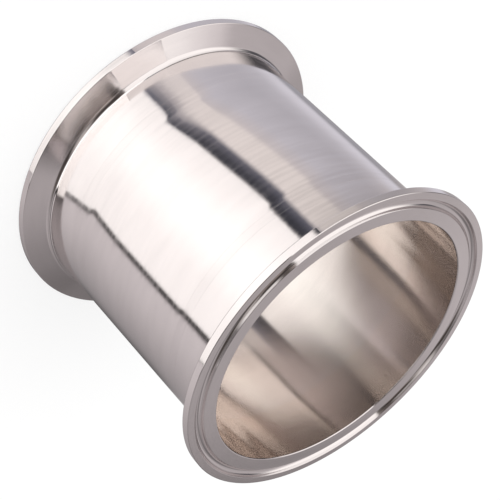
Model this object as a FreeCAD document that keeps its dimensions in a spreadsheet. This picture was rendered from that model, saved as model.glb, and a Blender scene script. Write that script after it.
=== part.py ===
import FreeCAD, Part
import math
import os
import Sketcher

# Sanitary spool pipe: a short length of polished stainless tube with a clamp ferrule welded to each end.
# The part stands on its lower face. The origin is the centre of that face and +Z runs along the bore.
# All sizes are in millimetres, and angles are in degrees.
SIZES = [
    ("tube_diameter", "101.6", "outside of the tube and of the ferrule necks"),
    ("wall", "2.11", "wall of the tube and of the ferrule necks"),
    ("spool_length", "101.6", "from the lower sealing face to the upper one"),
    ("ferrule_length", "21.5", "from a sealing face to the middle of its weld"),
    ("rim_edge", "2.85", "thickness of a ferrule at its rim"),
    ("clamp_angle", "20", "slope of the back of a ferrule, which the clamp wedges on"),
    ("inner_land", "4.78", "sealing face between the bore and the gasket groove"),
    ("groove_width", "3.4", "gasket groove at the sealing face"),
    ("groove_depth", "1.6", "from the sealing face to the floor of the groove"),
    ("groove_floor", "1.2", "flat floor of the groove"),
    ("flank_angle", "23", "slope of the groove's flanks off the bore's axis"),
    ("corner_height", "0.65", "relieved corners between the groove's flanks and its floor"),
    ("outer_land", "2.63", "sealing face between the gasket groove and the rim"),
    ("root_cone", "1.2", "slant length of each of the two short cones between the back and the neck"),
    ("rim_break", "0.3", "chamfers on both edges of the rim"),
    ("mouth_break", "0.4", "chamfer at the mouth of the bore"),
    ("weld_face_width", "3.2", "fused width at the outside of a weld"),
    ("weld_root_width", "2.0", "fused width at the bore"),
]

# Radii that every piece shares, as formulas on the sheet.
TUBE_RADIUS = "(sizes.tube_diameter / 2)"
BORE_RADIUS = "(sizes.tube_diameter / 2 - sizes.wall)"
GROOVE_CENTRE = "(" + BORE_RADIUS + " + sizes.inner_land + sizes.groove_width / 2)"
RIM_RADIUS = "(" + GROOVE_CENTRE + " + sizes.groove_width / 2 + sizes.outer_land)"

document = FreeCAD.newDocument("sanitary_spool_pipe")
sheet = document.addObject("Spreadsheet::Sheet", "sizes")
for row, (alias, value, meaning) in enumerate(SIZES, start=1):
    sheet.set("A%d" % row, meaning)
    sheet.set("B%d" % row, value)
    sheet.setAlias("B%d" % row, alias)
document.recompute()

tube_radius = sheet.tube_diameter / 2
bore_radius = tube_radius - sheet.wall
groove_centre = bore_radius + sheet.inner_land + sheet.groove_width / 2
rim_radius = groove_centre + sheet.groove_width / 2 + sheet.outer_land


def add_body(label):
    body = document.addObject("PartDesign::Body", label)
    body.Label = label
    return body


def add_profile(body, name):
    """A sketch in the body's XZ plane: its x is the radius and its y is the height."""
    sketch = body.newObject("Sketcher::SketchObject", name)
    planes = [plane for plane in body.Origin.OriginFeatures if plane.Role == "XZ_Plane"]
    sketch.AttachmentSupport = [(planes[0], "")]
    sketch.MapMode = "FlatFace"
    return sketch


def add_outline(sketch, corners):
    """A closed chain of straight lines through the corners, joined end to end."""
    lines = []
    for start, end in zip(corners, corners[1:] + corners[:1]):
        line = Part.LineSegment(FreeCAD.Vector(start[0], start[1], 0), FreeCAD.Vector(end[0], end[1], 0))
        lines.append(sketch.addGeometry(line))
    for line, following in zip(lines, lines[1:] + lines[:1]):
        sketch.addConstraint(Sketcher.Constraint("Coincident", line, 2, following, 1))
    return lines


def bind(sketch, name, constraint, formula):
    """Adds a dimension to the sketch and ties it to a formula on the sheet."""
    number = sketch.addConstraint(constraint)
    sketch.renameConstraint(number, name)
    sketch.setExpression("Constraints." + name, formula)


def bind_radius(sketch, name, line, value, formula):
    """Sets how far the start of a line lies from the axis."""
    bind(sketch, name, Sketcher.Constraint("DistanceX", -1, 1, line, 1, value), formula)


def bind_height(sketch, name, line, value, formula):
    """Sets how high the start of a line lies above the body's base plane."""
    bind(sketch, name, Sketcher.Constraint("DistanceY", -1, 1, line, 1, value), formula)


def turn(body, kind, name, sketch):
    """A full turn of the profile about the bore's axis."""
    feature = body.newObject(kind, name)
    feature.Profile = sketch
    feature.ReferenceAxis = (sketch, ["V_Axis"])
    feature.Angle = 360.0
    document.recompute()
    return feature


def circles_at(feature, height):
    """Names of the feature's circular edges at a height, from the innermost to the outermost."""
    found = []
    for number, edge in enumerate(feature.Shape.Edges, start=1):
        if isinstance(edge.Curve, Part.Circle) and abs(edge.Curve.Center.z - height) < 1e-6:
            found.append((edge.Curve.Radius, "Edge%d" % number))
    return [name for radius, name in sorted(found)]


def add_chamfer(body, name, base, edges, formula):
    feature = body.newObject("PartDesign::Chamfer", name)
    feature.Base = (base, edges)
    feature.setExpression("Size", formula)
    document.recompute()
    return feature


# Clamp ferrule, turned from bar: a flat sealing face with a gasket groove, a rim, a sloped back that the
# clamp wedges on, two short cones that ease it into the neck, and a neck of the tube's own section. Its
# sealing face lies on the body's base plane.
def add_ferrule(label):
    body = add_body(label)
    slope = math.radians(sheet.clamp_angle)
    root_height = sheet.rim_edge + (rim_radius - tube_radius) * math.tan(slope)
    root_step = (math.pi / 2 - slope) / 4
    root_reach = sheet.root_cone * math.cos(root_step) / math.cos(2 * root_step)
    back_end_radius = tube_radius + root_reach * math.cos(slope)
    back_end_height = root_height - root_reach * math.sin(slope)
    neck_outside = sheet.ferrule_length - sheet.weld_face_width / 2
    neck_inside = sheet.ferrule_length - sheet.weld_root_width / 2
    section = add_profile(body, label + "_section")
    neck, end, bore, face, rim, back, lower_root, upper_root = add_outline(section, [
        (tube_radius, root_height + root_reach),
        (tube_radius, neck_outside),
        (bore_radius, neck_inside),
        (bore_radius, 0),
        (rim_radius, 0),
        (rim_radius, sheet.rim_edge),
        (back_end_radius, back_end_height),
        (back_end_radius - sheet.root_cone * math.cos(slope + root_step),
         back_end_height + sheet.root_cone * math.sin(slope + root_step)),
    ])
    section.addConstraint(Sketcher.Constraint("PointOnObject", face, 1, -1))
    section.addConstraint(Sketcher.Constraint("Horizontal", face))
    section.addConstraint(Sketcher.Constraint("Vertical", rim))
    section.addConstraint(Sketcher.Constraint("Vertical", neck))
    section.addConstraint(Sketcher.Constraint("Vertical", bore))
    bind_radius(section, "bore_radius", face, bore_radius, BORE_RADIUS)
    bind_radius(section, "rim_radius", rim, rim_radius, RIM_RADIUS)
    bind_radius(section, "neck_radius", neck, tube_radius, TUBE_RADIUS)
    bind_height(section, "rim_edge", back, sheet.rim_edge, "sizes.rim_edge")
    bind(section, "clamp_angle", Sketcher.Constraint("Angle", back, math.pi - slope),
         "(180 - sizes.clamp_angle) * 1 deg")
    section.addConstraint(Sketcher.Constraint("Equal", lower_root, upper_root))
    bind(section, "root_cone", Sketcher.Constraint("Distance", lower_root, sheet.root_cone),
         "sizes.root_cone")
    lower_direction = math.pi - slope - root_step
    bind(section, "lower_root_angle", Sketcher.Constraint("Angle", lower_root, lower_direction),
         "(180 - sizes.clamp_angle - (90 - sizes.clamp_angle) / 4) * 1 deg")
    upper_direction = math.pi - slope - 3 * root_step
    bind(section, "upper_root_angle", Sketcher.Constraint("Angle", upper_root, upper_direction),
         "(180 - sizes.clamp_angle - (90 - sizes.clamp_angle) * 3 / 4) * 1 deg")
    bind_height(section, "neck_outside", end, neck_outside,
                "sizes.ferrule_length - sizes.weld_face_width / 2")
    bind_height(section, "neck_inside", bore, neck_inside,
                "sizes.ferrule_length - sizes.weld_root_width / 2")
    turned = turn(body, "PartDesign::Revolution", label + "_turned", section)

    groove = add_groove_profile(body, label + "_groove")
    grooved = turn(body, "PartDesign::Groove", label + "_grooved", groove)
    if grooved.Shape.Volume >= turned.Shape.Volume:
        raise RuntimeError("the gasket groove of " + label + " cuts nothing")

    rim_edges = circles_at(grooved, 0.0)[-1:] + circles_at(grooved, sheet.rim_edge)
    broken = add_chamfer(body, label + "_rim_break", grooved, rim_edges, "sizes.rim_break")
    mouth = circles_at(broken, 0.0)[:1]
    add_chamfer(body, label + "_mouth_break", broken, mouth, "sizes.mouth_break")
    return body


# Gasket groove, cut by a form tool: sloped flanks, relieved corners and a flat floor, the same on both
# sides of the groove's centre line.
def add_groove_profile(body, name):
    half_width = sheet.groove_width / 2
    half_floor = sheet.groove_floor / 2
    corner_depth = sheet.groove_depth - sheet.corner_height
    half_corner = half_width - corner_depth * math.tan(math.radians(sheet.flank_angle))
    groove = add_profile(body, name)
    opening, outer_flank, outer_corner, floor, inner_corner, inner_flank = add_outline(groove, [
        (groove_centre - half_width, 0),
        (groove_centre + half_width, 0),
        (groove_centre + half_corner, corner_depth),
        (groove_centre + half_floor, sheet.groove_depth),
        (groove_centre - half_floor, sheet.groove_depth),
        (groove_centre - half_corner, corner_depth),
    ])
    centre_line = groove.addGeometry(Part.LineSegment(
        FreeCAD.Vector(groove_centre, 0, 0), FreeCAD.Vector(groove_centre, sheet.groove_depth, 0)), True)
    groove.addConstraint(Sketcher.Constraint("Vertical", centre_line))
    groove.addConstraint(Sketcher.Constraint("PointOnObject", centre_line, 1, -1))
    groove.addConstraint(Sketcher.Constraint("PointOnObject", centre_line, 2, floor))
    groove.addConstraint(Sketcher.Constraint("PointOnObject", opening, 1, -1))
    for inner_line, inner_end, outer_line in [
            (opening, 1, outer_flank), (inner_flank, 1, outer_corner), (inner_corner, 1, floor)]:
        groove.addConstraint(Sketcher.Constraint(
            "Symmetric", inner_line, inner_end, outer_line, 1, centre_line))
    bind_radius(groove, "groove_centre", centre_line, groove_centre, GROOVE_CENTRE)
    bind(groove, "groove_width", Sketcher.Constraint("Distance", opening, sheet.groove_width),
         "sizes.groove_width")
    bind(groove, "groove_floor", Sketcher.Constraint("Distance", floor, sheet.groove_floor),
         "sizes.groove_floor")
    bind_height(groove, "groove_depth", floor, sheet.groove_depth, "sizes.groove_depth")
    bind_height(groove, "corner_depth", outer_corner, corner_depth,
                "sizes.groove_depth - sizes.corner_height")
    flank_direction = -math.radians(90 + sheet.flank_angle)
    bind(groove, "flank_angle", Sketcher.Constraint("Angle", inner_flank, flank_direction),
         "-(90 + sizes.flank_angle) * 1 deg")
    return groove


# Tube, cut from drawn pipe. Its ends are the fusion lines of the two welds, and the joint planes of the
# welds lie on its base plane and at its cut length.
def add_tube(label):
    body = add_body(label)
    cut_length = sheet.spool_length - 2 * sheet.ferrule_length
    root_half = sheet.weld_root_width / 2
    face_half = sheet.weld_face_width / 2
    section = add_profile(body, label + "_section")
    lower_end, outside, upper_end, inside = add_outline(section, [
        (bore_radius, root_half),
        (tube_radius, face_half),
        (tube_radius, cut_length - face_half),
        (bore_radius, cut_length - root_half),
    ])
    section.addConstraint(Sketcher.Constraint("Vertical", outside))
    section.addConstraint(Sketcher.Constraint("Vertical", inside))
    bind_radius(section, "bore_radius", lower_end, bore_radius, BORE_RADIUS)
    bind_radius(section, "tube_radius", outside, tube_radius, TUBE_RADIUS)
    bind_height(section, "lower_root", lower_end, root_half, "sizes.weld_root_width / 2")
    bind_height(section, "lower_face", outside, face_half, "sizes.weld_face_width / 2")
    bind_height(section, "upper_face", upper_end, cut_length - face_half,
                "sizes.spool_length - 2 * sizes.ferrule_length - sizes.weld_face_width / 2")
    bind_height(section, "upper_root", inside, cut_length - root_half,
                "sizes.spool_length - 2 * sizes.ferrule_length - sizes.weld_root_width / 2")
    turn(body, "PartDesign::Revolution", label + "_turned", section)
    return body


# Butt weld, run round the joint without filler and polished flush on both sides. The ring is the fused
# metal, wider at the outside than at the bore, with the joint plane on its base plane.
def add_weld(label):
    body = add_body(label)
    root_half = sheet.weld_root_width / 2
    face_half = sheet.weld_face_width / 2
    section = add_profile(body, label + "_section")
    lower_side, cap, upper_side, root = add_outline(section, [
        (bore_radius, -root_half),
        (tube_radius, -face_half),
        (tube_radius, face_half),
        (bore_radius, root_half),
    ])
    section.addConstraint(Sketcher.Constraint("Symmetric", cap, 1, cap, 2, -1))
    section.addConstraint(Sketcher.Constraint("Symmetric", root, 1, root, 2, -1))
    bind_radius(section, "bore_radius", root, bore_radius, BORE_RADIUS)
    bind_radius(section, "tube_radius", cap, tube_radius, TUBE_RADIUS)
    bind(section, "face_width", Sketcher.Constraint("Distance", cap, 2 * face_half),
         "sizes.weld_face_width")
    bind(section, "root_width", Sketcher.Constraint("Distance", root, 2 * root_half),
         "sizes.weld_root_width")
    turn(body, "PartDesign::Revolution", label + "_fused", section)
    return body


lower_ferrule = add_ferrule("lower_ferrule")
upper_ferrule = add_ferrule("upper_ferrule")
upper_ferrule.Placement = FreeCAD.Placement(
    FreeCAD.Vector(0, 0, sheet.spool_length), FreeCAD.Rotation(FreeCAD.Vector(1, 0, 0), 180))
upper_ferrule.setExpression("Placement.Base.z", "sizes.spool_length")

tube = add_tube("tube")
tube.setExpression("Placement.Base.z", "sizes.ferrule_length")

lower_weld = add_weld("lower_weld")
lower_weld.setExpression("Placement.Base.z", "sizes.ferrule_length")
upper_weld = add_weld("upper_weld")
upper_weld.setExpression("Placement.Base.z", "sizes.spool_length - sizes.ferrule_length")

document.recompute()

pieces = [tube, upper_ferrule, lower_ferrule, upper_weld, lower_weld]
for item in document.Objects:
    if "Invalid" in item.State or "Error" in item.State:
        raise RuntimeError(item.Label + " did not build: " + ", ".join(item.State))
for piece in pieces:
    if piece.Shape.isNull() or not piece.Shape.isValid() or len(piece.Shape.Solids) != 1:
        raise RuntimeError(piece.Label + " is not one valid solid")

os.makedirs("parts", exist_ok=True)
for piece in pieces:
    piece.Shape.exportStep("parts/" + piece.Label + ".step")
    print(piece.Label, "volume %.1f mm3" % piece.Shape.Volume)
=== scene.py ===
import math

import bpy
from mathutils import Matrix, Vector


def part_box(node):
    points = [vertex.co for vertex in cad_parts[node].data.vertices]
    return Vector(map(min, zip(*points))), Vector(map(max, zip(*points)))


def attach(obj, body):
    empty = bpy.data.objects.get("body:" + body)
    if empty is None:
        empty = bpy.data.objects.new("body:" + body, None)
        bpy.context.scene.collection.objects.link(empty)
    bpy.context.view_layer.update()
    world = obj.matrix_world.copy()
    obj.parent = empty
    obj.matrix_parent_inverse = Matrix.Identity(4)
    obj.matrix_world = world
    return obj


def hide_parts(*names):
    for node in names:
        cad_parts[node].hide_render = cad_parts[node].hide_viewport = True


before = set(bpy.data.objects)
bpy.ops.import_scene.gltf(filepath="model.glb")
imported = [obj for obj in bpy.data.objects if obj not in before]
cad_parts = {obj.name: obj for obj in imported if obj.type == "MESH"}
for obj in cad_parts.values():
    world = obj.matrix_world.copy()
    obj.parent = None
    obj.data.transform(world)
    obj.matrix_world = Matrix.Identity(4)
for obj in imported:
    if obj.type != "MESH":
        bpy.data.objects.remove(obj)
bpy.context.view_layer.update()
scene = bpy.context.scene
scene.view_settings.view_transform = "Standard"


# The camera looks down into the upper mouth at 33 degrees above the floor, from half a metre away.
# It is rolled, so that the upright spool lies across the picture, with its mouth at the lower right.
spool_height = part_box("upper_ferrule")[1].z
camera_tilt = math.radians(56.71)
camera_roll = math.radians(135.65)
camera_distance = 0.5303
focal_length = 113.1
sensor_width = 36.0
nearest_seen = 0.01
picture_width = 500
aim_offset_x = -1.29
aim_offset_y = -0.54

towards_camera = Vector((0, -math.sin(camera_tilt), math.cos(camera_tilt)))
level_right = Vector((1, 0, 0))
level_up = Vector((0, math.cos(camera_tilt), math.sin(camera_tilt)))
picture_right = math.cos(camera_roll) * level_right + math.sin(camera_roll) * level_up
picture_up = math.cos(camera_roll) * level_up - math.sin(camera_roll) * level_right
metres_per_pixel = camera_distance * sensor_width / focal_length / picture_width
aim = Vector((0, 0, spool_height / 2))
aim -= picture_right * aim_offset_x * metres_per_pixel
aim += picture_up * aim_offset_y * metres_per_pixel

camera_data = bpy.data.cameras.new("camera")
camera_data.lens = focal_length
camera_data.sensor_width = sensor_width
camera_data.clip_start = nearest_seen
camera = bpy.data.objects.new("camera", camera_data)
camera_turn = Matrix((picture_right, picture_up, towards_camera)).transposed()
camera.matrix_world = Matrix.Translation(aim + towards_camera * camera_distance) @ camera_turn.to_4x4()
scene.collection.objects.link(camera)
scene.camera = camera


# Studio room: white softboxes, grey cards and dark gaps stand round a white table. Only mirrored rays
# see them, so they shape the steel and leave the picture's background white.
def add_node(tree, kind, **settings):
    node = tree.nodes.new(kind)
    for name, value in settings.items():
        setattr(node, name, value)
    return node


def link(tree, source, target):
    tree.links.new(source, target)


def math_node(tree, operation, first, second=None, third=None):
    node = add_node(tree, "ShaderNodeMath", operation=operation)
    for socket, value in zip(node.inputs, (first, second, third)):
        if value is None:
            continue
        if isinstance(value, (int, float)):
            socket.default_value = value
        else:
            link(tree, value, socket)
    return node.outputs[0]


def fade(tree, value, start, stop, low=0.0, high=1.0):
    """Goes smoothly from low to high as value goes from start to stop."""
    node = add_node(tree, "ShaderNodeMapRange", interpolation_type="SMOOTHSTEP")
    link(tree, value, node.inputs["Value"])
    node.inputs["From Min"].default_value = start
    node.inputs["From Max"].default_value = stop
    node.inputs["To Min"].default_value = low
    node.inputs["To Max"].default_value = high
    return node.outputs[0]


def mix_colours(tree, factor, first, second):
    """Mixes two colours. Sockets 6 and 7 are the mix node's colours A and B, and output 2 its colour."""
    node = add_node(tree, "ShaderNodeMix", data_type="RGBA")
    link(tree, factor, node.inputs["Factor"])
    link(tree, first, node.inputs[6])
    link(tree, second, node.inputs[7])
    return node.outputs[2]


tints = {
    "white": (1.0, 0.975, 0.965),
    "pure": (1.0, 1.0, 0.985),
    "lilac": (1.0, 0.98, 1.075),
    "beige": (1.0, 0.935, 0.905),
    "blue": (1.0, 1.02, 1.3),
    "warm": (1.0, 0.935, 0.955),
    "brown": (1.0, 0.85, 0.79),
}


def card_row(tree, place, first, last, cards):
    """A row of cards from first to last. Each card is its place, its light level and its tint."""
    node = add_node(tree, "ShaderNodeValToRGB")
    ramp = node.color_ramp
    while len(ramp.elements) > 1:
        ramp.elements.remove(ramp.elements[-1])
    for index, (where, level, tint) in enumerate(cards):
        position = (where - first) / (last - first)
        stop = ramp.elements[0] if index == 0 else ramp.elements.new(position)
        stop.position = position
        stop.color = (*[level * part for part in tints[tint]], 1)
    scaled = math_node(tree, "MULTIPLY_ADD", place, 1 / (last - first), -first / (last - first))
    link(tree, scaled, node.inputs[0])
    return node.outputs[0]


# Each row holds between two elevations. Its places are azimuths in degrees: 0 is the camera's side,
# negative is to the camera's left, and 180 is behind the spool. Some rows share their left or right side.
low_left = [
    (-180, 0.12, "warm"), (-172, 0.16, "warm"), (-140, 0.36, "warm"), (-128, 0.48, "lilac"),
    (-115, 0.57, "lilac"), (-80, 0.6, "lilac"), (-60, 0.72, "warm"), (-42, 0.66, "warm"),
    (-37, 0.5, "lilac"),
]
low_right = [(118, 0.43, "warm"), (134, 0.3, "warm"), (152, 0.13, "warm"), (180, 0.06, "warm")]
high_right = [
    (-12, 0.1, "brown"), (-9, 0.05, "brown"), (16, 0.08, "brown"), (26, 0.5, "beige"),
    (40, 0.45, "beige"), (50, 0.05, "brown"), (76, 0.1, "brown"), (96, 0.38, "warm"),
    (116, 0.48, "warm"), (131, 0.46, "warm"), (139, 0.31, "warm"), (152, 0.2, "warm"),
    (166, 0.38, "warm"), (174, 0.45, "warm"), (180, 0.45, "warm"),
]
card_rows = [
    (-90, -45, [
        *low_left,
        (-33, 0.1, "brown"), (-20, 0.04, "brown"), (-10, 0.85, "white"), (8, 0.9, "white"),
        (30, 0.7, "white"), (48, 0.55, "white"), (58, 0.15, "brown"), (70, 0.08, "brown"),
        (78, 0.3, "brown"), (95, 0.5, "warm"),
        *low_right,
    ]),
    (-43, -41, [
        *low_left,
        (-33, 0.24, "blue"), (-30.5, 0.24, "blue"), (-28, 1.2, "white"), (0, 1.35, "pure"),
        (20, 1.35, "pure"), (60, 1.2, "white"), (70, 1.0, "white"), (75, 0.58, "warm"),
        (95, 0.58, "warm"),
        *low_right,
    ]),
    (-38.5, -32.2, [
        (-180, 0.2, "warm"), (-174, 0.24, "white"), (-167, 0.34, "warm"), (-160, 0.36, "lilac"),
        (-149, 0.36, "lilac"), (-142, 0.73, "lilac"), (-135, 0.72, "lilac"), (-123, 0.58, "lilac"),
        (-110, 0.53, "lilac"), (-98, 0.57, "lilac"), (-84, 0.63, "lilac"), (-71, 0.7, "warm"),
        (-67, 0.92, "beige"), (-46.5, 0.95, "beige"), (-42.5, 0.13, "blue"), (-36, 0.05, "blue"),
        (-31.5, 0.04, "blue"), (-29.5, 1.2, "white"), (-12, 1.3, "white"), (4, 1.4, "pure"),
        (18, 1.4, "pure"), (40, 1.25, "white"), (68.7, 1.2, "white"), (70, 0.05, "warm"),
        (73, 0.05, "warm"), (75.5, 0.72, "warm"), (92, 0.65, "warm"), (118, 0.48, "warm"),
        (143, 0.32, "warm"), (160, 0.15, "warm"), (173, 0.15, "white"), (180, 0.2, "warm"),
    ]),
    (-30.8, -10, [
        (-180, 0.75, "white"), (-174, 0.74, "white"), (-167, 0.6, "warm"), (-160, 0.42, "warm"),
        (-149, 0.4, "warm"), (-142, 0.72, "lilac"), (-135, 0.7, "lilac"), (-123, 0.56, "warm"),
        (-110, 0.44, "warm"), (-98, 0.36, "warm"), (-84, 0.3, "beige"), (-67, 0.26, "beige"),
        (-46.5, 0.28, "beige"), (-42.5, 0.13, "blue"), (-36, 0.05, "blue"), (-31.5, 0.04, "blue"),
        (-29.5, 1.2, "white"), (-12, 1.35, "white"), (4, 1.45, "pure"), (18, 1.45, "pure"),
        (40, 1.3, "white"), (68, 1.2, "white"), (69.5, 0.04, "brown"), (74, 0.04, "brown"),
        (76, 0.72, "warm"), (92, 0.65, "warm"), (118, 0.5, "warm"), (143, 0.38, "warm"),
        (160, 0.32, "warm"), (168, 0.56, "white"), (173, 0.75, "white"), (180, 0.75, "white"),
    ]),
    (-6, 3, [
        (-180, 0.4, "warm"), (-160, 0.42, "warm"), (-145, 0.12, "lilac"), (-112, 0.1, "lilac"),
        (-104, 0.5, "warm"), (-84, 0.95, "white"), (-50, 1.15, "white"), (-28, 1.7, "pure"),
        (68, 1.7, "pure"), (70, 0.06, "warm"), (73, 0.06, "warm"), (80, 0.22, "warm"),
        (150, 0.12, "warm"), (180, 0.4, "warm"),
    ]),
    (8, 15, [
        (-180, 0.45, "warm"), (-142, 0.4, "warm"), (-131, 0.1, "lilac"), (-104, 0.08, "lilac"),
        (-95, 0.7, "warm"), (-12, 0.3, "brown"), (-9, 0.1, "brown"), (-4, 0.1, "brown"),
        (3, 0.95, "white"), (32, 0.95, "white"), (42, 0.2, "warm"), (62, 0.2, "warm"),
        (76, 0.42, "warm"), (110, 0.42, "warm"), (150, 0.24, "warm"), (162, 0.2, "warm"),
        (180, 0.45, "warm"),
    ]),
    (23, 27, [
        (-180, 0.4, "warm"), (-176, 0.56, "warm"), (-138, 0.5, "warm"), (-130, 0.12, "lilac"),
        (-110, 0.1, "lilac"), (-102, 0.6, "warm"), (-12, 0.1, "brown"), (16, 0.12, "brown"),
        (26, 0.55, "beige"), (40, 0.5, "beige"), (50, 0.06, "brown"), (76, 0.1, "brown"),
        (96, 0.34, "warm"), (131, 0.36, "warm"), (152, 0.18, "warm"), (164, 0.18, "warm"),
        (176, 0.3, "warm"), (180, 0.4, "warm"),
    ]),
    (31, 44, [
        (-180, 0.45, "warm"), (-150, 0.5, "warm"), (-112, 0.6, "warm"),
        *high_right,
    ]),
    (50, 60, [
        (-180, 0.45, "warm"), (-165, 0.5, "warm"), (-150, 0.69, "warm"), (-112, 0.72, "warm"),
        *high_right,
    ]),
]
# Overhead the places run from -1 on the camera's left to 1 on its right.
overhead_start = 72
overhead_cards = [
    (-1, 0.4, "warm"), (-0.2, 0.34, "brown"), (-0.13, 0.05, "brown"), (-0.08, 0.05, "brown"),
    (-0.06, 0.22, "brown"), (-0.02, 0.29, "brown"), (0.05, 0.21, "brown"), (0.12, 0.27, "brown"),
    (0.18, 0.13, "brown"), (0.24, 0.08, "brown"), (0.3, 0.13, "warm"), (0.4, 0.2, "warm"),
    (0.6, 0.28, "warm"), (1, 0.3, "warm"),
]
# A large softbox stands to the left: it ends above the table, short of the camera and behind the spool.
# It is a little dimmer at its foot.
softbox_light = (1.25, 1.22, 1.205, 1)
softbox_foot_share = 0.84
softbox_foot_light = [part * softbox_foot_share for part in softbox_light]
softbox_foot = 2.5
softbox_foot_fade = 3
softbox_dim_until = 5
softbox_full_from = 30
softbox_right = -0.12
softbox_right_fade = 0.012
softbox_slant = 0.14
softbox_back = 0.33
softbox_back_fade = 0.18

world = bpy.data.worlds.new("studio_room")
scene.world = world
world.use_nodes = True
room = world.node_tree
room.nodes.clear()
axes = add_node(room, "ShaderNodeSeparateXYZ")
link(room, add_node(room, "ShaderNodeTexCoord").outputs["Generated"], axes.inputs[0])
towards = math_node(room, "MULTIPLY", axes.outputs["Y"], -1.0)
azimuth = math_node(room, "DEGREES", math_node(room, "ARCTAN2", axes.outputs["X"], towards))
elevation = math_node(room, "DEGREES", math_node(room, "ARCSINE", axes.outputs["Z"]))
lit = card_row(room, azimuth, -180, 180, card_rows[0][2])
below = card_rows[0][1]
for low, high, cards in card_rows[1:]:
    row = card_row(room, azimuth, -180, 180, cards)
    lit = mix_colours(room, fade(room, elevation, below, low), lit, row)
    below = high
overhead = card_row(room, axes.outputs["X"], -1, 1, overhead_cards)
lit = mix_colours(room, fade(room, elevation, below, overhead_start), lit, overhead)

from_edge = math_node(room, "MULTIPLY_ADD", axes.outputs["Y"], -softbox_slant, axes.outputs["X"])
inside_left = fade(room, from_edge, softbox_right + softbox_right_fade, softbox_right - softbox_right_fade)
inside_back = fade(
    room, axes.outputs["Y"], softbox_back + softbox_back_fade, softbox_back - softbox_back_fade)
inside_foot = fade(room, elevation, softbox_foot - softbox_foot_fade, softbox_foot + softbox_foot_fade)
inside = math_node(room, "MULTIPLY", math_node(room, "MULTIPLY", inside_left, inside_back), inside_foot)
softbox = add_node(room, "ShaderNodeRGB")
softbox.outputs[0].default_value = softbox_light
softbox_low = add_node(room, "ShaderNodeRGB")
softbox_low.outputs[0].default_value = softbox_foot_light
brighter = fade(room, elevation, softbox_dim_until, softbox_full_from)
glow = mix_colours(room, brighter, softbox_low.outputs[0], softbox.outputs[0])
lit = mix_colours(room, inside, lit, glow)

rays = add_node(room, "ShaderNodeLightPath")
steel_light = add_node(room, "ShaderNodeBackground")
link(room, lit, steel_light.inputs["Color"])
plain_light = add_node(room, "ShaderNodeBackground")
plain_light.inputs["Color"].default_value = (1, 1, 1, 1)
plain_light.inputs["Strength"].default_value = 1.0
mix = add_node(room, "ShaderNodeMixShader")
link(room, rays.outputs["Is Glossy Ray"], mix.inputs[0])
link(room, plain_light.outputs[0], mix.inputs[1])
link(room, steel_light.outputs[0], mix.inputs[2])
room_output = add_node(room, "ShaderNodeOutputWorld")
link(room, mix.outputs[0], room_output.inputs["Surface"])

key_aim = Vector((0, 0, 0.05))
key_data = bpy.data.lights.new("key_light", "AREA")
key_data.shape = "DISK"
key_data.size = 0.9
key_data.energy = 2.5
key_light = bpy.data.objects.new("key_light", key_data)
key_light.location = (-0.35, -0.2, 0.9)
key_light.rotation_euler = (key_aim - key_light.location).to_track_quat("-Z", "Y").to_euler()
key_light.visible_glossy = False
scene.collection.objects.link(key_light)

floor_half = 3.0
floor_drop = 0.0002
floor_colour = (0.97, 0.97, 0.97, 1)
white_share = 0.7
floor_mesh = bpy.data.meshes.new("floor")
floor_mesh.from_pydata(
    [(-floor_half, -floor_half, 0), (floor_half, -floor_half, 0), (floor_half, floor_half, 0),
     (-floor_half, floor_half, 0)], [], [(0, 1, 2, 3)])
floor = bpy.data.objects.new("floor", floor_mesh)
scene.collection.objects.link(floor)
floor.location.z = -floor_drop
floor_material = bpy.data.materials.new("white_table")
floor_material.use_nodes = True
table = floor_material.node_tree
table.nodes.clear()
table_diffuse = add_node(table, "ShaderNodeBsdfDiffuse")
table_diffuse.inputs["Color"].default_value = floor_colour
table_glow = add_node(table, "ShaderNodeEmission")
table_glow.inputs["Color"].default_value = (1, 1, 1, 1)
table_rays = add_node(table, "ShaderNodeLightPath")
seen_white = math_node(table, "MULTIPLY", table_rays.outputs["Is Camera Ray"], white_share)
pale = add_node(table, "ShaderNodeMixShader")
link(table, seen_white, pale.inputs[0])
link(table, table_diffuse.outputs[0], pale.inputs[1])
link(table, table_glow.outputs[0], pale.inputs[2])
table_clear = add_node(table, "ShaderNodeBsdfTransparent")
table_mix = add_node(table, "ShaderNodeMixShader")
link(table, table_rays.outputs["Is Glossy Ray"], table_mix.inputs[0])
link(table, pale.outputs[0], table_mix.inputs[1])
link(table, table_clear.outputs[0], table_mix.inputs[2])
table_output = add_node(table, "ShaderNodeOutputMaterial")
link(table, table_mix.outputs[0], table_output.inputs["Surface"])
floor_mesh.materials.append(floor_material)


# Tube: a length of welded stainless tube with a 2.11 mm wall, polished outside with fine belts that run
# round it and left satin inside. Its ends were squared and melted into the two welds.
tube_radius = 0.0508
wall = 0.00211
bore_radius = tube_radius - wall
end_round = 0.00002
weld_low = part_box("lower_weld")
weld_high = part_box("upper_weld")
tube_low, tube_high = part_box("tube")
# Every piece is turned in this many steps, with rings this close together on its walls. A wall is
# upright where its normal points out at least this far, and a point this near to its radius is on it.
turn_steps = 480
ring_gap = 0.0009
upright = 0.999
near = 0.0001


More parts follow.
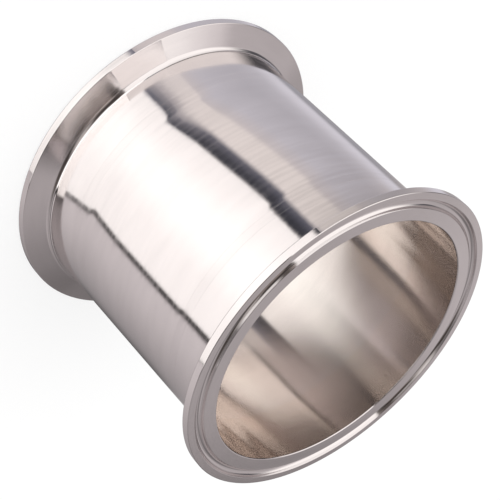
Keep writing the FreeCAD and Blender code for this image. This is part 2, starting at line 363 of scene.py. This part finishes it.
def rounded_section(corners):
    """Points and outward normals of a closed section whose corners are (radius, height, round, steps).
    The corners go round the metal anticlockwise, with the radius to the right and the height up."""
    section = []
    count = len(corners)
    for index, (r, z, rounding, steps) in enumerate(corners):
        here = Vector((r, z))
        before = Vector(corners[index - 1][:2])
        after = Vector(corners[(index + 1) % count][:2])
        arriving = (here - before).normalized()
        leaving = (after - here).normalized()
        bend = abs(arriving.angle_signed(leaving))
        way = 1 if arriving.cross(leaving) > 0 else -1
        start = here - arriving * rounding * math.tan(bend / 2)
        inward = Vector((-arriving.y, arriving.x))
        centre = start + inward * rounding * way
        for step in range(steps + 1):
            normal = Matrix.Rotation(way * bend * step / steps, 2) @ -inward
            section.append((centre + normal * rounding * way, normal))
    return section


def split_walls(section):
    """Adds rings along the upright walls of a section, so that they can lean a little."""
    rings = []
    for index, (point, normal) in enumerate(section):
        rings.append((point, normal))
        after, after_normal = section[(index + 1) % len(section)]
        length = (after - point).length
        if abs(normal.x) < upright or abs(after_normal.x) < upright or length < ring_gap:
            continue
        parts = math.ceil(length / ring_gap)
        for part in range(1, parts):
            rings.append((point.lerp(after, part / parts), normal))
    return rings


def read_curve(curve, place):
    """Reads a value off a list of (place, value) pairs whose places rise."""
    if place <= curve[0][0]:
        return curve[0][1]
    for (low, low_value), (high, high_value) in zip(curve, curve[1:]):
        if place <= high:
            return low_value + (high_value - low_value) * (place - low) / (high - low)
    return curve[-1][1]


def bump(value, start, top_start, top_end, end):
    """Rises smoothly from 0 to 1 and falls back to 0."""
    if value <= start or value >= end:
        return 0.0
    if value < top_start:
        part = (value - start) / (top_start - start)
    elif value > top_end:
        part = (end - value) / (end - top_end)
    else:
        return 1.0
    return part * part * (3 - 2 * part)


# Hand belts leave the outside wall leaning sideways by a few degrees, most at the edges of the two
# polished welds. These curves are degrees by height in mm, for the wall to the left of the front, to the
# right of it and farther left. Each reach is the azimuths between which the wall has that lean.
left_lean = [(8, -1.0), (22, -1.3), (25, -1.8), (26.8, -3.6), (31, -2.9), (41, -1.1), (53, 0.0),
             (65, 1.2), (76.3, 1.9), (77.5, 0.8), (93, 0.7)]
left_reach = (-75, -36, -11, 12)
right_lean = [(8, -3.3), (15, -1.7), (22, -0.4), (24.5, 0.0), (26.8, 1.7), (31, 1.1), (41, 0.2),
              (53, 0.0), (76.5, -0.2), (78, 0.4), (93, 0.5)]
right_reach = (0, 28, 40, 80)
side_lean = [(3, 0.0), (12, -4.5), (20, -5.2), (29, -4.6), (38, -2.6), (53, -1.3), (77, -0.9), (90, 0.0)]
side_reach = (-58, -38, -28, -23)
# A worn belt left a flatter patch by the lower weld. This curve is degrees by azimuth, the other leans
# of the left wall included, and it holds between these heights.
patch_lean = [(-33, 0.0), (-24.5, 1.9), (-18.7, -1.9), (-15, 0.0)]
patch_heights = (2, 6, 29, 44)


def wall_lean(azimuth, height):
    """How far the outside wall leans sideways, in degrees, at this height in mm."""
    lean = read_curve(left_lean, height) * bump(azimuth, *left_reach)
    lean += read_curve(right_lean, height) * bump(azimuth, *right_reach)
    lean += read_curve(patch_lean, azimuth + lean) * bump(height, *patch_heights)
    lean += read_curve(side_lean, height) * bump(azimuth, *side_reach)
    return lean


# Near the upper mouth the wall of the bore leans sideways too, most at its two sides. The lean grows
# forwards from its start, by so many degrees per degree, and fades away in front of the side. A small
# ripple lies on it.
right_start, right_growth = 120.0, 0.38
left_start, left_growth = 128.3, 0.41
full_from = 93
side_fade = (60, 92, 180, 181)
ripple = 0.8
ripple_from = 80
ripple_centre = 117.5
ripple_rate = 31
mouth_heights = (30, 85, 110, 120)


def bore_lean(azimuth, height):
    """How far the wall of the bore leans sideways, in degrees, at this height in mm."""
    side = abs(azimuth)
    start, growth = (right_start, right_growth) if azimuth > 0 else (left_start, left_growth)
    lean = growth * max(0.0, start - max(side, full_from)) * bump(side, *side_fade)
    if ripple_from < side < start:
        lean -= ripple * math.cos(math.radians((side - ripple_centre) * ripple_rate))
    return math.copysign(1, azimuth) * lean * bump(height, *mouth_heights)


# Where it is farthest from the camera, the wall of the bore also faces down a little.
sink_most = 3.4
sink_reach = (157, 180, 190, 218)
sink_heights = (40, 78, 80, 100)


def bore_sink(azimuth, height):
    """How far the wall of the bore faces down, in degrees, at this height in mm."""
    return sink_most * bump(azimuth % 360, *sink_reach) * bump(height, *sink_heights)


def walls_finish(azimuth, point, normal):
    """The sideways lean in degrees of a point on the tube's outside or in the bore, and its normal."""
    height = point.y * 1000
    if normal.x > upright and point.x < tube_radius + near:
        return wall_lean(azimuth, height), normal
    if normal.x < -upright and point.x < bore_radius + near:
        sink = math.radians(bore_sink(azimuth, height))
        return bore_lean(azimuth, height), Vector((normal.x * math.cos(sink), -math.sin(sink)))
    return 0.0, normal


# Faint creases were left where two strokes of a hand belt met: two on the lower ferrule's back and two
# on the rims. Every piece has a column of points close to each side of them, so that all pieces meet.
back_creases = (-27.5, -8.2)
rim_creases = (-18, 34)
crease_half = 0.005


def lathe(name, section, finish):
    """Turns a closed section about the bore's axis, with its true normals and its hand finish."""
    rings = len(section)
    vertices = []
    normals = []
    azimuths = [360 * step / turn_steps - 180 for step in range(turn_steps)]
    for crease in back_creases + rim_creases:
        azimuths += [crease - crease_half, crease + crease_half]
    azimuths = sorted(set(azimuths) - set(back_creases + rim_creases))
    for azimuth in azimuths:
        sine = math.sin(math.radians(azimuth))
        cosine = -math.cos(math.radians(azimuth))
        for point, true_normal in section:
            lean, normal = finish(azimuth, point, true_normal)
            faced = math.radians(azimuth + lean)
            vertices.append((point.x * sine, point.x * cosine, point.y))
            normals.append((normal.x * math.sin(faced), -normal.x * math.cos(faced), normal.y))
    faces = []
    for step in range(len(azimuths)):
        this_row = step * rings
        next_row = (step + 1) % len(azimuths) * rings
        for ring in range(rings):
            after = (ring + 1) % rings
            faces.append((this_row + ring, next_row + ring, next_row + after, this_row + after))
    mesh = bpy.data.meshes.new(name)
    mesh.from_pydata(vertices, [], faces)
    mesh.polygons.foreach_set("use_smooth", [True] * len(faces))
    mesh.normals_split_custom_set_from_vertices(normals)
    piece = bpy.data.objects.new(name, mesh)
    scene.collection.objects.link(piece)
    return piece


def turned_place(tree):
    """Where a point is on a turned part: the direction out from the bore's axis, and the way across
    the marks that a tool or belt leaves round it."""
    axes = add_node(tree, "ShaderNodeSeparateXYZ")
    link(tree, add_node(tree, "ShaderNodeTexCoord").outputs["Object"], axes.inputs[0])
    flat = add_node(tree, "ShaderNodeCombineXYZ")
    link(tree, axes.outputs["X"], flat.inputs["X"])
    link(tree, axes.outputs["Y"], flat.inputs["Y"])
    radius = add_node(tree, "ShaderNodeVectorMath", operation="LENGTH")
    link(tree, flat.outputs[0], radius.inputs[0])
    outward = add_node(tree, "ShaderNodeVectorMath", operation="NORMALIZE")
    link(tree, flat.outputs[0], outward.inputs[0])
    across = math_node(tree, "SUBTRACT", axes.outputs["Z"], radius.outputs["Value"])
    return outward.outputs[0], across


def marks(tree, outward, across, mark_size):
    """Noise drawn out round the part, in marks of about this (length, width) in metres."""
    mark_length, mark_width = mark_size
    stretched = add_node(tree, "ShaderNodeVectorMath", operation="SCALE")
    link(tree, outward, stretched.inputs[0])
    stretched.inputs["Scale"].default_value = tube_radius / mark_length
    split = add_node(tree, "ShaderNodeSeparateXYZ")
    link(tree, stretched.outputs[0], split.inputs[0])
    place = add_node(tree, "ShaderNodeCombineXYZ")
    link(tree, split.outputs["X"], place.inputs["X"])
    link(tree, split.outputs["Y"], place.inputs["Y"])
    link(tree, math_node(tree, "MULTIPLY", across, 1 / mark_width), place.inputs["Z"])
    noise = add_node(tree, "ShaderNodeTexNoise")
    noise.inputs["Scale"].default_value = 1.0
    noise.inputs["Detail"].default_value = 2.0
    link(tree, place.outputs[0], noise.inputs["Vector"])
    return noise.outputs["Fac"]


# The marks on the steel, each as length and width in metres: clouds of tone, satin streaks, fine and
# coarse polishing lines, and the unevenness that scatters light sideways.
clouds_size = (0.02, 0.006)
streaks_size = (0.025, 0.0012)
fine_lines_size = (0.004, 0.00025)
coarse_lines_size = (0.015, 0.0011)
scatter_size = (0.0025, 0.0006)
# The coarse lines are this many times as deep as the fine ones. Clouds and streaks use the noise between
# its low and high values, and the clouds go from this dark to this light. The painted shade of a mouth, a
# darker colour towards it, starts at this share of the way from the spool's middle to its end.
coarse_share = 2.0
noise_low = 0.3
noise_high = 0.7
cloud_dark = 0.97
cloud_light = 1.02
mouth_shade_starts = 0.6


def turned_steel(name, colour, roughness, patchy, grain, sideways, stretch, mouth_painted_shade=1.0):
    """Stainless steel with marks that run round the part. Towards the mouths its colour darkens to the
    last argument's share, a painted shade for the darker reflections near a mouth.
    The grain is how deep the lines are in metres, sideways how far they scatter light round the part,
    and stretch, from 0 to 1, how far a highlight is drawn out across the lines."""
    material = bpy.data.materials.new(name)
    material.use_nodes = True
    steel = material.node_tree
    shader = steel.nodes["Principled BSDF"]
    outward, across = turned_place(steel)
    shader.inputs["Metallic"].default_value = 1.0
    shader.inputs["Anisotropic"].default_value = stretch
    shader.inputs["Anisotropic Rotation"].default_value = 0.25
    tangent = add_node(steel, "ShaderNodeTangent", direction_type="RADIAL", axis="Z")
    link(steel, tangent.outputs[0], shader.inputs["Tangent"])

    clouds = marks(steel, outward, across, clouds_size)
    tone = add_node(steel, "ShaderNodeValToRGB")
    tone.color_ramp.elements[0].position = noise_low
    tone.color_ramp.elements[1].position = noise_high
    tone.color_ramp.elements[0].color = (*[part * cloud_dark for part in colour], 1)
    tone.color_ramp.elements[1].color = (*[min(1.0, part * cloud_light) for part in colour], 1)
    link(steel, clouds, tone.inputs[0])
    place = add_node(steel, "ShaderNodeSeparateXYZ")
    link(steel, add_node(steel, "ShaderNodeTexCoord").outputs["Object"], place.inputs[0])
    half = spool_height / 2
    from_middle = math_node(steel, "ABSOLUTE", math_node(steel, "SUBTRACT", place.outputs["Z"], half))
    # Painted shade: the colour darkens towards each mouth of the spool, for the darker reflections there.
    mouth = fade(steel, from_middle, mouth_shade_starts * half, half, 1.0, mouth_painted_shade)
    toned = add_node(steel, "ShaderNodeVectorMath", operation="SCALE")
    link(steel, tone.outputs[0], toned.inputs[0])
    link(steel, mouth, toned.inputs["Scale"])
    link(steel, toned.outputs[0], shader.inputs["Base Color"])

    streaks = marks(steel, outward, across, streaks_size)
    smoothest = roughness * (1 - patchy)
    roughest = roughness * (1 + patchy)
    satin_patches = fade(steel, streaks, noise_low, noise_high, smoothest, roughest)
    link(steel, satin_patches, shader.inputs["Roughness"])

    fine = marks(steel, outward, across, fine_lines_size)
    coarse = marks(steel, outward, across, coarse_lines_size)
    height = math_node(steel, "MULTIPLY_ADD", coarse, coarse_share, fine)
    lines = add_node(steel, "ShaderNodeBump")
    lines.inputs["Strength"].default_value = 1.0
    lines.inputs["Distance"].default_value = grain
    link(steel, height, lines.inputs["Height"])

    round_it = add_node(steel, "ShaderNodeVectorMath", operation="CROSS_PRODUCT")
    round_it.inputs[0].default_value = (0, 0, 1)
    link(steel, outward, round_it.inputs[1])
    scatter = marks(steel, outward, across, scatter_size)
    amount = math_node(steel, "MULTIPLY_ADD", scatter, 2 * sideways, -sideways)
    shift = add_node(steel, "ShaderNodeVectorMath", operation="SCALE")
    link(steel, round_it.outputs[0], shift.inputs[0])
    link(steel, amount, shift.inputs["Scale"])
    leaned = add_node(steel, "ShaderNodeVectorMath", operation="ADD")
    link(steel, lines.outputs[0], leaned.inputs[0])
    link(steel, shift.outputs[0], leaned.inputs[1])
    normal = add_node(steel, "ShaderNodeVectorMath", operation="NORMALIZE")
    link(steel, leaned.outputs[0], normal.inputs[0])
    link(steel, normal.outputs[0], shader.inputs["Normal"])
    return material


# A face belongs to the bore where its normal rises or falls by less than this.
most_rise = 0.2


def finish_inside(piece, satin):
    """Gives the faces of the bore their own satin finish."""
    piece.data.materials.append(satin)
    for face in piece.data.polygons:
        centre = Vector(face.center[:2])
        if centre.length < bore_radius + near and abs(face.normal.z) < most_rise:
            face.material_index = 1


polished = turned_steel(
    "polished_tube", colour=(0.80, 0.755, 0.745), roughness=0.11, patchy=0.2, grain=5e-7,
    sideways=0.003, stretch=0.75)
satin = turned_steel(
    "satin_bore", colour=(0.80, 0.735, 0.695), roughness=0.135, patchy=0.04, grain=5e-8,
    sideways=0.0001, stretch=0.95)
tube = lathe("tube_body", split_walls(rounded_section([
    (bore_radius, tube_low.z, end_round, 2),
    (tube_radius, weld_low[1].z, end_round, 2),
    (tube_radius, weld_high[0].z, end_round, 2),
    (bore_radius, tube_high.z, end_round, 2),
])), walls_finish)
tube.data.materials.append(polished)
finish_inside(tube, satin)
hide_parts("tube")
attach(tube, "root")


# Clamp ferrules: turned from stainless bar and polished, one at each end, the same part turned round.
# Each has two flat lands round a gasket groove, a rim, a 20 degree back and a neck that meets the tube.
rim_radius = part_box("lower_ferrule")[1].x
rim_edge = 0.00285
rim_round = 0.0003
mouth_round = 0.0004
clamp_slope = math.tan(math.radians(20))
neck_fillet = 0.002
groove_centre = 0.05517
groove_half = 0.0017
groove_depth = 0.0016
groove_slant = 0.00068
groove_bottom = 0.0015
groove_lip = 0.00022
neck_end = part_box("lower_ferrule")[1].z
neck_outside = weld_low[0].z
back_root = rim_edge + (rim_radius - tube_radius) * clamp_slope
ferrule_corners = [
    (bore_radius, 0, mouth_round, 8),
    (groove_centre - groove_half, 0, groove_lip, 6),
    (groove_centre - groove_half + groove_slant, groove_depth, groove_bottom, 14),
    (groove_centre + groove_half - groove_slant, groove_depth, groove_bottom, 14),
    (groove_centre + groove_half, 0, groove_lip, 6),
    (rim_radius, 0, rim_round, 6),
    (rim_radius, rim_edge, rim_round, 6),
    (tube_radius, back_root, neck_fillet, 12),
    (tube_radius, neck_outside, end_round, 2),
    (bore_radius, neck_end, end_round, 2),
]

# Between its two creases the lower ferrule's back leans towards the tube. Beside each crease of its own
# a rim leans sideways, away from it. A rim's list is azimuth, degrees of lean and degrees of fading.
back_lean = 5.5
back_top = 0.01
rim_leans = [(rim_creases[0], 2.8, 10), (rim_creases[1], 1.7, 9)]


def rim_lean(azimuth):
    """How far the polished edge of a rim leans sideways, in degrees."""
    for crease, most, spread in rim_leans:
        part = 1 - abs(azimuth - crease) / spread
        if part > 0:
            return math.copysign(most * part * part * (3 - 2 * part), azimuth - crease)
    return 0.0


def ferrule_finish(azimuth, point, normal):
    """The sideways lean in degrees of a point on a ferrule, and its normal."""
    if normal.x > upright and point.x > rim_radius - near:
        return rim_lean(azimuth), normal
    lean, normal = walls_finish(azimuth, point, normal)
    on_back = normal.y > 0 and point.x > tube_radius and point.y < back_top
    if on_back and back_creases[0] < azimuth < back_creases[1]:
        normal = Matrix.Rotation(math.radians(back_lean) * normal.y, 2) @ normal
    return lean, normal


ferrule_steel = turned_steel(
    "polished_ferrule", colour=(0.80, 0.755, 0.745), roughness=0.1, patchy=0.2, grain=6e-7,
    sideways=0.006, stretch=0.7)
# The bore's colour darkens towards its mouth, a painted shade for the darker reflections there.
turned_bore = turned_steel(
    "turned_bore", colour=(0.80, 0.725, 0.675), roughness=0.135, patchy=0.04, grain=5e-8,
    sideways=0.0001, stretch=0.95, mouth_painted_shade=0.64)
lower_section = split_walls(rounded_section(ferrule_corners))
upper_section = [(Vector((point.x, spool_height - point.y)), Vector((normal.x, -normal.y)))
                 for point, normal in reversed(lower_section)]
for name, node, section in [
        ("lower_ferrule_body", "lower_ferrule", lower_section),
        ("upper_ferrule_body", "upper_ferrule", upper_section)]:
    ferrule = lathe(name, section, ferrule_finish)
    ferrule.data.materials.append(ferrule_steel)
    finish_inside(ferrule, turned_bore)
    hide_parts(node)
    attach(ferrule, "root")


# Butt welds: the tube and each ferrule were melted together without filler, then ground and polished
# flush inside and outside, so only a faint seam is left.
weld_steel = turned_steel(
    "polished_weld", colour=(0.79, 0.745, 0.735), roughness=0.11, patchy=0.2, grain=7e-7,
    sideways=0.006, stretch=0.75)
# In the bore a weld is narrower than outside: its root ends where the tube begins there.
root_half = tube_low.z - (weld_low[0].z + weld_low[1].z) / 2
for name, node, (low, high) in [
        ("lower_weld_seam", "lower_weld", weld_low),
        ("upper_weld_seam", "upper_weld", weld_high)]:
    joint_height = (low.z + high.z) / 2
    seam = lathe(name, split_walls(rounded_section([
        (bore_radius, joint_height - root_half, end_round, 2),
        (tube_radius, low.z, end_round, 2),
        (tube_radius, high.z, end_round, 2),
        (bore_radius, joint_height + root_half, end_round, 2),
    ])), walls_finish)
    seam.data.materials.append(weld_steel)
    finish_inside(seam, satin)
    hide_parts(node)
    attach(seam, "root")
